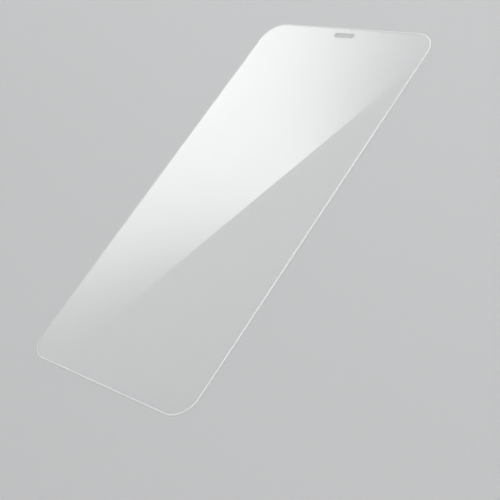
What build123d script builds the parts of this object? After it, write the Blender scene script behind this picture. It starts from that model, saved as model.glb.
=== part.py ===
"""Phone screen protector of tempered glass.

One clear sheet with rounded corners, a front edge ground to a wide arc and a slot for the earpiece.
Millimetres. X is the width and Y the length, with the slot at the +Y end. The sheet lies on its
adhesive face at Z = 0 and its front face looks up. The origin is under the middle of the sheet.
"""
from build123d import *

import os

# The sheet
sheet_width = 71.0
sheet_length = 142.0
sheet_thickness = 0.33
corner_radius = 7.6

# The ground edge: an arc leaves the front face smoothly and falls to an upright land
edge_run = 0.60  # from the sheet's side in to where the arc begins
edge_land = 0.13  # height of glass left under the arc at the sheet's side
underside_seam = 0.04  # bevel that takes the sharp corner off the underside's edges

# The earpiece slot
slot_length = 8.0
slot_height = 1.6
slot_corner_radius = 0.6
slot_from_end = 3.4  # from the sheet's end to the middle of the slot
slot_bevel = 0.15  # bevel round the slot's front rim

# The grinding wheel reaches this far past the glass
wheel_clearance = 0.5

half_width = sheet_width / 2
half_length = sheet_length / 2
wheel_reach = half_width + wheel_clearance
wheel_top = sheet_thickness + wheel_clearance

with BuildPart() as screen_protector:
    # The blank, cut to its outline: one half from side to side, and its mirror image
    with BuildSketch():
        with BuildLine() as outline:
            FilletPolyline(
                (half_width, 0),
                (half_width, half_length),
                (-half_width, half_length),
                (-half_width, 0),
                radius=corner_radius,
            )
            mirror(about=Plane.XZ)
        make_face()
    extrude(amount=sheet_thickness)

    # The earpiece slot goes right through
    with BuildSketch():
        with Locations((0, half_length - slot_from_end)):
            RectangleRounded(slot_length, slot_height, slot_corner_radius)
    extrude(amount=sheet_thickness, mode=Mode.SUBTRACT)

    # Bevels on the underside's edges and round the slot's front rim
    underside = screen_protector.faces().sort_by(Axis.Z)[0]
    chamfer(underside.edges(), length=underside_seam)
    front = screen_protector.faces().sort_by(Axis.Z)[-1]
    chamfer(front.inner_wires()[0].edges(), length=slot_bevel)

    # What the wheel grinds away, as a section across the right side, run once round the outline
    with BuildSketch(Plane.XZ):
        with BuildLine():
            arc = TangentArc(
                (half_width - edge_run, sheet_thickness),
                (half_width, edge_land),
                tangent=(1, 0),
            )
            Polyline(
                arc @ 1,
                (wheel_reach, edge_land),
                (wheel_reach, wheel_top),
                (half_width - edge_run, wheel_top),
                arc @ 0,
            )
        make_face()
    sweep(path=outline.wire(), mode=Mode.SUBTRACT)

screen_protector.part.label = "screen_protector"

os.makedirs("parts", exist_ok=True)
export_step(screen_protector.part, "parts/screen_protector.step")
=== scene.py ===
"""A phone screen protector of clear tempered glass, lying on a pale floor in soft studio light.

Metres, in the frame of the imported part: X is the sheet's width, Y its length with the earpiece slot
at the +Y end, and Z points up out of its front face.
"""
import math

import bpy
from mathutils import Matrix, Vector


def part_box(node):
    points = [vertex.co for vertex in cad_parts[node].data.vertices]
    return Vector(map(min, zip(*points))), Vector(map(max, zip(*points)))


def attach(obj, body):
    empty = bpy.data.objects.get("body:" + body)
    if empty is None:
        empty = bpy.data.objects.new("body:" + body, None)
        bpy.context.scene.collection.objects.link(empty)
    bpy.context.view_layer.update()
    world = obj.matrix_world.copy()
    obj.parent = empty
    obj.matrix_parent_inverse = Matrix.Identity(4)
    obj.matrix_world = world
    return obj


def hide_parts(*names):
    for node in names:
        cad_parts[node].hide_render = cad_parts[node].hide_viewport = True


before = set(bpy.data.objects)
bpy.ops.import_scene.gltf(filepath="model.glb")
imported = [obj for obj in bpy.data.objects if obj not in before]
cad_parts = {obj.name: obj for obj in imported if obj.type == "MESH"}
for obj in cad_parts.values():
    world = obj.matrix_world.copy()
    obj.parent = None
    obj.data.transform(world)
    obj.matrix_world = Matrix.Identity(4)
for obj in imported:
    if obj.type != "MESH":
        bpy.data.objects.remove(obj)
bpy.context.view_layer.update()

MM = 0.001
NODE = "screen_protector"

# The sheet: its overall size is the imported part's own, and its smaller sizes are those of the part
LOW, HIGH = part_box(NODE)
SHEET_WIDTH = HIGH.x - LOW.x
SHEET_LENGTH = HIGH.y - LOW.y
SHEET_THICKNESS = HIGH.z - LOW.z
CORNER_RADIUS = 7.6 * MM
EDGE_RUN = 0.60 * MM
EDGE_LAND = 0.13 * MM
UNDERSIDE_SEAM = 0.04 * MM
SLOT_LENGTH = 8.0 * MM
SLOT_HEIGHT = 1.6 * MM
SLOT_CORNER_RADIUS = 0.6 * MM
SLOT_FROM_END = 3.4 * MM
SLOT_BEVEL = 0.15 * MM
CORNER_STEPS = 24
ARC_STEPS = 8

# The polished faces: almost colourless, with a wiped-on coating in wide patches and narrow smears
GLASS_IOR = 1.51
POLISHED_TINTS = ((0.99, 1.0, 0.995, 1.0), (0.998, 1.0, 1.0, 1.0))
POLISHED_ROUGHNESS = 0.004
SMEAR_ROUGHNESS = 0.02
PATCH_WIDTH = 22 * MM
SMEAR_WIDTH = 1.5 * MM
POLISHED_LETS_THROUGH = (0.955, 0.96, 0.96, 1.0)

# The ground edges: clear at the front face and frosted further down, by a share of the arc's depth that
# wavers with the passes of the wheel
EDGE_TINT = (0.97, 1.0, 0.985, 1.0)
EDGE_ROUGHNESS = 0.05
PASS_ROUGHNESS = 0.08
PASS_WIDTH = 0.7 * MM
PASS_WAVER = 0.08
FROST_DEPTH = (-0.02, 0.35)
FROST_SHARE = 0.95
FROST_TINTS = ((0.84, 0.89, 0.87, 1.0), (1.0, 1.0, 1.0, 1.0))
FROST_ROUGHNESS = 0.3
FROST_TRANSMISSION = 0.2
GRIT_ROUGHNESS = 0.2
GRIT_WIDTH = 0.05 * MM
GRIT_DEPTH = 0.008 * MM
GRIT_STRENGTH = 0.6
GROUND_LETS_THROUGH = (0.7, 0.72, 0.72, 1.0)

# The camera: where it aims on the sheet, and from where
AIM = Vector((19.7, -17.1, 0.1)) * MM
CAMERA_DISTANCE = 305.7 * MM
CAMERA_AZIMUTH = math.radians(63.91)
CAMERA_ELEVATION = math.radians(41.15)
CAMERA_ROLL = math.radians(-37.96)
CAMERA_LENS = 76.43
CAMERA_SENSOR = 36.0
CAMERA_RANGE = (0.01, 50.0)

# The floor, with painted light: its colour turns paler far from the sheet, to make up for the lamps' light,
# which falls off there
FLOOR_GAP = 0.02 * MM
FLOOR_SIZE = 24.0
FLOOR_COLOUR = (0.55, 0.555, 0.56, 1.0)
FAR_FLOOR_PAINTED_LIGHT_COLOUR = (0.95, 0.95, 0.95, 1.0)
PAINTED_LIGHT_FADE = (0.4, 3.0)

# The softbox on the far left. The sheet mirrors its straight edge along a line, brightest at one spot of
# that line, and its glow reaches further up and down the line the further it is from it.
SHEEN_LINE = (Vector((-2.3, -27.3)) * MM, Vector((29.4, 46.1)) * MM)
SHEEN_SPOT = 0.5
SHEEN_REACH_UP = 30 * MM
SHEEN_REACH_DOWN = 38 * MM
SHEEN_FAN = 31.5 * MM
SHEEN_SIDE = (65 * MM, 120 * MM)
SHEEN_END = (92 * MM, 128 * MM)
SOFTBOX_HEIGHT = 500 * MM
SOFTBOX_GLOW = 3.55

# The softboxes overhead and all round, which face the sheet. Each has one crisp edge and fades towards its
# other three: the middle of that edge, how far it leans in degrees, the width beside it, and its two ends.
SOFTBOXES = (
    dict(name="overhead", edge=(0.05, 0.09, 0.80), lean=86, width=0.62, ends=(-0.46, 0.44), glow=3.0),
    dict(name="front_right", edge=(1.55, -1.45, 0.62), lean=-35, width=1.30, ends=(-0.45, 0.60), glow=1.25),
    dict(name="front_left", edge=(-1.00, -1.05, 0.82), lean=35, width=0.90, ends=(-0.50, 0.50), glow=1.45),
    dict(name="back_left", edge=(-0.74, 0.78, 0.50), lean=40, width=0.50, ends=(-0.45, 0.45), glow=1.7),
    dict(name="back_right", edge=(1.15, 1.10, 0.56), lean=-140, width=0.90, ends=(-0.50, 0.50), glow=1.4),
    dict(name="front", edge=(0.04, -1.50, 0.68), lean=35, width=0.80, ends=(-0.45, 0.45), glow=1.3),
    dict(name="back", edge=(0.04, 1.50, 0.68), lean=-145, width=0.80, ends=(-0.45, 0.45), glow=1.3),
    dict(name="right", edge=(1.50, 0.04, 0.68), lean=35, width=0.80, ends=(-0.45, 0.45), glow=1.3),
)
SOFT_RIM = 0.2

# The studio round it: pale walls, a little brighter by the floor and on the far left, under a darker ceiling.
# Heights are those of a direction's unit vector.
HORIZON_GLOW = 0.8
WALL_GLOW = 0.64
WALL_RISE = (0.0, 0.35)
CEILING_GLOW = 0.15
CEILING_RISE = (0.55, 0.95)
FAR_LEFT_GLOW = 0.7
FAR_LEFT_FOCUS = 8.0


class Wire:
    """An output socket of a node tree. Sums written with it add Math nodes to that tree."""

    def __init__(self, tree, socket=None):
        self.tree = tree
        self.socket = socket

    def add(self, kind, settings=None, sockets=None, out=0):
        """Adds a node, with its settings first and then its sockets' values or links, and gives an output."""
        node = self.tree.nodes.new(kind)
        for name, value in (settings or {}).items():
            setattr(node, name, value)
        for name, value in (sockets or {}).items():
            if isinstance(value, Wire):
                self.tree.links.new(value.socket, node.inputs[name])
            else:
                node.inputs[name].default_value = value
        return Wire(self.tree, node.outputs[out] if node.outputs else None)

    def math(self, operation, *values):
        return self.add("ShaderNodeMath", {"operation": operation}, dict(enumerate(values)))

    def __add__(self, other):
        return self.math("ADD", self, other)

    def __radd__(self, other):
        return self.math("ADD", other, self)

    def __sub__(self, other):
        return self.math("SUBTRACT", self, other)

    def __rsub__(self, other):
        return self.math("SUBTRACT", other, self)

    def __neg__(self):
        return 0 - self

    def __abs__(self):
        return self.math("ABSOLUTE", self)

    def __mul__(self, other):
        return self.math("MULTIPLY", self, other)

    def __rmul__(self, other):
        return self.math("MULTIPLY", other, self)

    def __truediv__(self, other):
        return self.math("DIVIDE", self, other)

    def __mod__(self, other):
        return self.math("FLOORED_MODULO", self, other)

    def __lt__(self, other):
        return self.math("LESS_THAN", self, other)

    def __gt__(self, other):
        return self.math("GREATER_THAN", self, other)

    def floor(self):
        return self.math("FLOOR", self)

    def sign(self):
        return self.math("SIGN", self)

    def sin(self):
        return self.math("SINE", self)

    def cos(self):
        return self.math("COSINE", self)

    def exp(self):
        return self.math("EXPONENT", self)

    def equals(self, other):
        """1 where two whole numbers are the same, 0 elsewhere."""
        return self.math("COMPARE", self, other, 0.5)

    def axis(self, name):
        return self.add("ShaderNodeSeparateXYZ", sockets={0: self}, out=name)


def sheet_inputs(tree):
    """The sheet's sizes, steps and finishes as named inputs of its tree, and the value each one is given."""
    inputs = {
        "NodeSocketFloat": {
            "Width": SHEET_WIDTH,
            "Length": SHEET_LENGTH,
            "Thickness": SHEET_THICKNESS,
            "Corner Radius": CORNER_RADIUS,
            "Edge Run": EDGE_RUN,
            "Edge Land": EDGE_LAND,
            "Seam": UNDERSIDE_SEAM,
            "Slot Length": SLOT_LENGTH,
            "Slot Height": SLOT_HEIGHT,
            "Slot Corner Radius": SLOT_CORNER_RADIUS,
            "Slot From End": SLOT_FROM_END,
            "Slot Bevel": SLOT_BEVEL,
        },
        "NodeSocketInt": {"Corner Steps": CORNER_STEPS, "Arc Steps": ARC_STEPS},
        "NodeSocketMaterial": {"Polished": polished_glass(), "Ground": ground_glass()},
    }
    values = {}
    names = []
    for kind, group in inputs.items():
        for name, value in group.items():
            socket = tree.interface.new_socket(name, in_out="INPUT", socket_type=kind)
            values[socket.identifier] = value
            names.append(name)
    return {name: Wire(tree).add("NodeGroupInput", out=name) for name in names}, values


# Seven stations go round the section from the edge's land to the slot's rim, and the rest are on its arc
LAND, SEAM, UNDERSIDE, SLOT_UNDERSIDE, SLOT_SEAM, SLOT_WALL, SLOT_RIM = range(7)
ARC = 7


def section(size, station):
    """How high each station is, how far out from its outline, and 1 where that outline is the slot's."""
    at = [station.equals(n) for n in range(ARC)]
    drop = size["Thickness"] - size["Edge Land"]
    arc_radius = (size["Edge Run"] * size["Edge Run"] + drop * drop) / (drop * 2.0)
    arc_sweep = station.math("ARCSINE", size["Edge Run"] / arc_radius)
    turn = arc_sweep * (station - ARC) / size["Arc Steps"]
    on_arc = station > ARC - 0.5
    height = (
        at[LAND] * size["Edge Land"]
        + (at[SEAM] + at[SLOT_SEAM]) * size["Seam"]
        + at[SLOT_WALL] * (size["Thickness"] - size["Slot Bevel"])
        + at[SLOT_RIM] * size["Thickness"]
        + on_arc * (size["Thickness"] - arc_radius * (1 - turn.cos()))
    )
    outward = (
        (at[SLOT_UNDERSIDE] - at[UNDERSIDE]) * size["Seam"]
        + at[SLOT_RIM] * size["Slot Bevel"]
        - on_arc * (size["Edge Run"] - arc_radius * turn.sin())
    )
    on_slot = at[SLOT_UNDERSIDE] + at[SLOT_SEAM] + at[SLOT_WALL] + at[SLOT_RIM]
    return height, outward, on_slot


def outlines(size, place, corner_points, outward, on_slot):
    """Where each place round the sheet's outline is, or round the slot's: both are four corner arcs."""
    radius = size["Corner Radius"] + on_slot * (size["Slot Corner Radius"] - size["Corner Radius"])
    half_width = (size["Width"] + on_slot * (size["Slot Length"] - size["Width"])) / 2.0
    half_length = (size["Length"] + on_slot * (size["Slot Height"] - size["Length"])) / 2.0
    middle = on_slot * (size["Length"] / 2.0 - size["Slot From End"])
    corner = (place / corner_points).floor()
    angle = (corner + (place % corner_points) / size["Corner Steps"]) * (math.pi / 2)
    corner_middle = (corner + 0.5) * (math.pi / 2)
    reach = radius + outward
    x = corner_middle.cos().sign() * (half_width - radius) + reach * angle.cos()
    y = middle + corner_middle.sin().sign() * (half_length - radius) + reach * angle.sin()
    return x, y


def sheet_tree():
    """A sheet with one slot is a ring: a closed section whose stations each run round an outline."""
    tree = bpy.data.node_groups.new("glass_sheet", "GeometryNodeTree")
    tree.interface.new_socket("Geometry", in_out="OUTPUT", socket_type="NodeSocketGeometry")
    size, values = sheet_inputs(tree)
    wire = Wire(tree)

    # Two closed circles give the ring its faces, and its points then go to their places
    stations = ARC + size["Arc Steps"]
    corner_points = size["Corner Steps"] + 1
    circle = "GeometryNodeCurvePrimitiveCircle"
    round_outline = wire.add(circle, sockets={"Resolution": corner_points * 4})
    round_section = wire.add(circle, sockets={"Resolution": stations})
    sheet = wire.add("GeometryNodeCurveToMesh", sockets={0: round_outline, "Profile Curve": round_section})
    index = wire.add("GeometryNodeInputIndex")
    station = index % stations
    height, outward, on_slot = section(size, station)
    x, y = outlines(size, (index / stations).floor(), corner_points, outward, on_slot)
    spot = wire.add("ShaderNodeCombineXYZ", sockets={"X": x, "Y": y, "Z": height})
    sheet = wire.add("GeometryNodeSetPosition", sockets={"Geometry": sheet, "Position": spot})

    # The two big faces stay flat, and every line round the section is crisp apart from those on the arc
    big_faces = station.equals(UNDERSIDE) + station.equals(SLOT_RIM)
    ends = [wire.add("GeometryNodeInputMeshEdgeVertices", out=n) % stations for n in (0, 1)]
    crisp = ends[0].equals(ends[1]) * (ends[0] < ARC + 0.5)
    for domain, selection in (("FACE", big_faces), ("EDGE", crisp)):
        sheet = wire.add(
            "GeometryNodeSetShadeSmooth",
            {"domain": domain},
            {"Geometry": sheet, "Selection": selection, "Shade Smooth": False},
        )
    sheet = wire.add("GeometryNodeRealizeInstances", sockets={"Geometry": sheet})
    for selection, finish in ((True, "Polished"), (1 - big_faces, "Ground")):
        sheet = wire.add(
            "GeometryNodeSetMaterial",
            sockets={"Geometry": sheet, "Selection": selection, "Material": size[finish]},
        )
    wire.add("NodeGroupOutput", sockets={0: sheet})
    return tree, values


def glass_sheet():
    """The sheet as a plain mesh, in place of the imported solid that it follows."""
    tree, values = sheet_tree()
    maker = bpy.data.objects.new("glass_sheet_maker", bpy.data.meshes.new("glass_sheet_maker"))
    bpy.context.scene.collection.objects.link(maker)
    modifier = maker.modifiers.new("glass_sheet", "NODES")
    modifier.node_group = tree
    for identifier, value in values.items():
        modifier[identifier] = value
    evaluated = maker.evaluated_get(bpy.context.evaluated_depsgraph_get())
    mesh = bpy.data.meshes.new_from_object(evaluated)
    bpy.data.objects.remove(maker)
    mesh.name = "glass_sheet"
    sheet = bpy.data.objects.new("glass_sheet", mesh)
    bpy.context.scene.collection.objects.link(sheet)
    return sheet


def new_material(name):
    material = bpy.data.materials.new(name)
    material.use_nodes = True
    material.node_tree.nodes.clear()
    return material, Wire(material.node_tree)


def lets_lamps_through(wire, glass, tint):
    """Glass for what is seen, and a clear pane for the light that falls through it."""
    pane = wire.add("ShaderNodeBsdfTransparent", sockets={"Color": tint})
    for rays in ("Is Shadow Ray", "Is Diffuse Ray"):
        share = wire.add("ShaderNodeLightPath", out=rays)
        glass = wire.add("ShaderNodeMixShader", sockets={0: share, 1: glass, 2: pane})
    return glass


def clouds(wire, place, size, detail=2.0):
    """Soft clouds from 0 to 1 whose patches are about as wide as the size."""
    return wire.add(
        "ShaderNodeTexNoise",
        sockets={"Vector": place, "Scale": 1 / size, "Detail": detail, "Roughness": 0.5},
    )


def blend(wire, share, low, high):
    """A colour between two, by a share from 0 to 1."""
    return wire.add(
        "ShaderNodeMix", {"data_type": "RGBA", "clamp_factor": True}, {0: share, 6: low, 7: high}, out=2
    )


def rise(wire, value, start, end):
    """A soft step from 0 to 1 between two values."""
    return wire.add(
        "ShaderNodeMapRange",
        {"interpolation_type": "SMOOTHSTEP"},
        {"Value": value, "From Min": start, "From Max": end},
    )


def polished_glass():
    """Almost colourless, with a wiped-on coating that makes some patches a trace softer than others."""
    material, wire = new_material("polished_glass")
    place = wire.add("ShaderNodeTexCoord", out="Object")
    patches = clouds(wire, place, PATCH_WIDTH)
    smears = clouds(wire, place, SMEAR_WIDTH)
    glass = wire.add(
        "ShaderNodeBsdfPrincipled",
        sockets={
            "Base Color": blend(wire, patches, *POLISHED_TINTS),
            "Roughness": POLISHED_ROUGHNESS + SMEAR_ROUGHNESS * patches * smears,
            "IOR": GLASS_IOR,
            "Transmission Weight": 1.0,
        },
    )
    glass = lets_lamps_through(wire, glass, POLISHED_LETS_THROUGH)
    wire.add("ShaderNodeOutputMaterial", sockets={"Surface": glass})
    return material


def ground_glass():
    """Glossy where the edge curves out of the front face, and milky with grit marks further down."""
    material, wire = new_material("ground_glass")
    place = wire.add("ShaderNodeTexCoord", out="Object")
    grit = clouds(wire, place, GRIT_WIDTH, detail=3.0)
    passes = clouds(wire, place, PASS_WIDTH)
    depth = (HIGH.z - place.axis("Z")) / (SHEET_THICKNESS - EDGE_LAND)
    frost = FROST_SHARE * rise(wire, depth + PASS_WAVER * (passes - 0.5), *FROST_DEPTH)
    clear = wire.add(
        "ShaderNodeBsdfPrincipled",
        sockets={
            "Base Color": EDGE_TINT,
            "Roughness": EDGE_ROUGHNESS + PASS_ROUGHNESS * passes,
            "IOR": GLASS_IOR,
            "Transmission Weight": 1.0,
        },
    )
    pits = wire.add(
        "ShaderNodeBump", sockets={"Strength": GRIT_STRENGTH, "Distance": GRIT_DEPTH, "Height": grit}
    )
    milky = wire.add(
        "ShaderNodeBsdfPrincipled",
        sockets={
            "Base Color": blend(wire, grit, *FROST_TINTS),
            "Roughness": FROST_ROUGHNESS + GRIT_ROUGHNESS * grit,
            "IOR": GLASS_IOR,
            "Transmission Weight": FROST_TRANSMISSION,
            "Normal": pits,
        },
    )
    glass = wire.add("ShaderNodeMixShader", sockets={0: frost, 1: clear, 2: milky})
    glass = lets_lamps_through(wire, glass, GROUND_LETS_THROUGH)
    wire.add("ShaderNodeOutputMaterial", sockets={"Surface": glass})
    return material


def flat_panel(name, low, high, matrix, material):
    """A stage panel in its own XY plane, between two corners."""
    corners = [(low[0], low[1]), (high[0], low[1]), (high[0], high[1]), (low[0], high[1])]
    mesh = bpy.data.meshes.new(name)
    mesh.from_pydata([(x, y, 0.0) for x, y in corners], [], [(0, 1, 2, 3)])
    mesh.materials.append(material)
    panel = bpy.data.objects.new(name, mesh)
    panel.matrix_world = matrix
    bpy.context.scene.collection.objects.link(panel)
    return panel


def floor():
    material, wire = new_material("pale_floor")
    place = wire.add("ShaderNodeTexCoord", out="Object")
    away = wire.add("ShaderNodeVectorMath", {"operation": "LENGTH"}, {0: place}, "Value")
    # Painted light: the floor's colour grows paler away from the sheet, standing in for the lamps' light that
    # falls off there
    colour = blend(wire, rise(wire, away, *PAINTED_LIGHT_FADE), FLOOR_COLOUR, FAR_FLOOR_PAINTED_LIGHT_COLOUR)
    paint = wire.add(
        "ShaderNodeBsdfPrincipled",
        sockets={"Base Color": colour, "Roughness": 1.0, "Specular IOR Level": 0.0},
    )
    wire.add("ShaderNodeOutputMaterial", sockets={"Surface": paint})
    half = FLOOR_SIZE / 2
    flat_panel("floor", (-half, -half), (half, half), Matrix.Translation((0, 0, LOW.z - FLOOR_GAP)), material)


def camera():
    """The camera, and where it stands."""
    data = bpy.data.cameras.new("camera")
    data.lens = CAMERA_LENS
    data.sensor_width = CAMERA_SENSOR
    data.clip_start, data.clip_end = CAMERA_RANGE
    back = Vector(
        (
            math.sin(CAMERA_AZIMUTH) * math.cos(CAMERA_ELEVATION),
            -math.cos(CAMERA_AZIMUTH) * math.cos(CAMERA_ELEVATION),
            math.sin(CAMERA_ELEVATION),
        )
    )
    eye = AIM + back * CAMERA_DISTANCE
    level = (-back).to_track_quat("-Z", "Y").to_matrix().to_4x4()
    roll = Matrix.Rotation(CAMERA_ROLL, 4, "Z")
    holder = bpy.data.objects.new("camera", data)
    holder.matrix_world = Matrix.Translation(eye) @ level @ roll
    bpy.context.scene.collection.objects.link(holder)
    bpy.context.scene.camera = holder
    return eye


def glows(wire, glow, share):
    """Gives a material its light by a share from 0, where it is bare air, to 1."""
    bright = wire.add("ShaderNodeEmission", sockets={"Strength": glow})
    bare = wire.add("ShaderNodeBsdfTransparent")
    light = wire.add("ShaderNodeMixShader", sockets={0: share, 1: bare, 2: bright})
    wire.add("ShaderNodeOutputMaterial", sockets={"Surface": light})


def lamp(panel):
    """A panel that gives light, but isn't seen itself and shades nothing."""
    panel.visible_camera = False
    panel.visible_shadow = False


def far_left_softbox(eye):
    """From the camera's place, the sheet mirrors its straight edge as the line where the sheen stops."""
    grow = 1 + SOFTBOX_HEIGHT / eye.z
    low, high = SHEEN_LINE
    spot = low.lerp(high, SHEEN_SPOT)
    over = Vector((eye.x, eye.y))
    centre = over + (spot - over) * grow
    turn = (high - low).angle_signed(Vector((0, 1)))

    material, wire = new_material("far_left_softbox")
    place = wire.add("ShaderNodeTexCoord", out="Object")
    away = -place.axis("X") / grow
    along = place.axis("Y") / grow
    reach = SHEEN_REACH_DOWN + (SHEEN_REACH_UP - SHEEN_REACH_DOWN) * (along > 0.0)
    share = along / (1 + away / SHEEN_FAN) / reach
    side = SHEEN_SIDE[1] * grow
    end = SHEEN_END[1] * grow
    within = rise(wire, away, *reversed(SHEEN_SIDE)) * rise(wire, abs(along), *reversed(SHEEN_END))
    glows(wire, SOFTBOX_GLOW, (-(share * share)).exp() * within)
    matrix = Matrix.Translation((centre.x, centre.y, SOFTBOX_HEIGHT)) @ Matrix.Rotation(turn, 4, "Z")
    lamp(flat_panel("far_left_softbox", (-side, -end), (0, end), matrix, material))


def softbox(name, edge, lean, width, ends, glow):
    """A softbox with its crisp edge on its own Y axis, that fades away towards the other three."""
    low, high = ends
    material, wire = new_material(name + "_softbox")
    place = wire.add("ShaderNodeTexCoord", out="Object")
    far_side = rise(wire, place.axis("X"), -width, SOFT_RIM - width)
    low_end = rise(wire, place.axis("Y"), low, low + SOFT_RIM)
    high_end = rise(wire, place.axis("Y"), high, high - SOFT_RIM)
    glows(wire, glow, far_side * low_end * high_end)
    facing = Vector(edge).to_track_quat("Z", "Y").to_matrix().to_4x4()
    matrix = Matrix.Translation(edge) @ facing @ Matrix.Rotation(math.radians(lean), 4, "Z")
    lamp(flat_panel(name + "_softbox", (-width, low), (0, high), matrix, material))


def studio(eye):
    """Pale walls all round under a darker ceiling, brightest where the sheet mirrors the far left."""
    world = bpy.data.worlds.new("studio")
    bpy.context.scene.world = world
    world.use_nodes = True
    world.node_tree.nodes.clear()
    wire = Wire(world.node_tree)
    view = wire.add("ShaderNodeTexCoord", out="Generated")
    height = view.axis("Z")
    far_left = Vector((-eye.x, -eye.y, eye.z)).normalized()
    facing = wire.add("ShaderNodeVectorMath", {"operation": "DOT_PRODUCT"}, {0: view, 1: far_left}, "Value")
    share = wire.math("MAXIMUM", facing, 0.0)
    glow = (
        HORIZON_GLOW
        + (WALL_GLOW - HORIZON_GLOW) * rise(wire, height, *WALL_RISE)
        + (CEILING_GLOW - WALL_GLOW) * rise(wire, height, *CEILING_RISE)
        + FAR_LEFT_GLOW * wire.math("POWER", share, FAR_LEFT_FOCUS)
    )
    sky = wire.add("ShaderNodeBackground", sockets={"Color": glow})
    wire.add("ShaderNodeOutputWorld", sockets={"Surface": sky})


eye = camera()
studio(eye)
far_left_softbox(eye)
for box in SOFTBOXES:
    softbox(**box)
floor()
sheet = glass_sheet()
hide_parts(NODE)
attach(sheet, "root")

bpy.context.scene.view_settings.view_transform = "Standard"
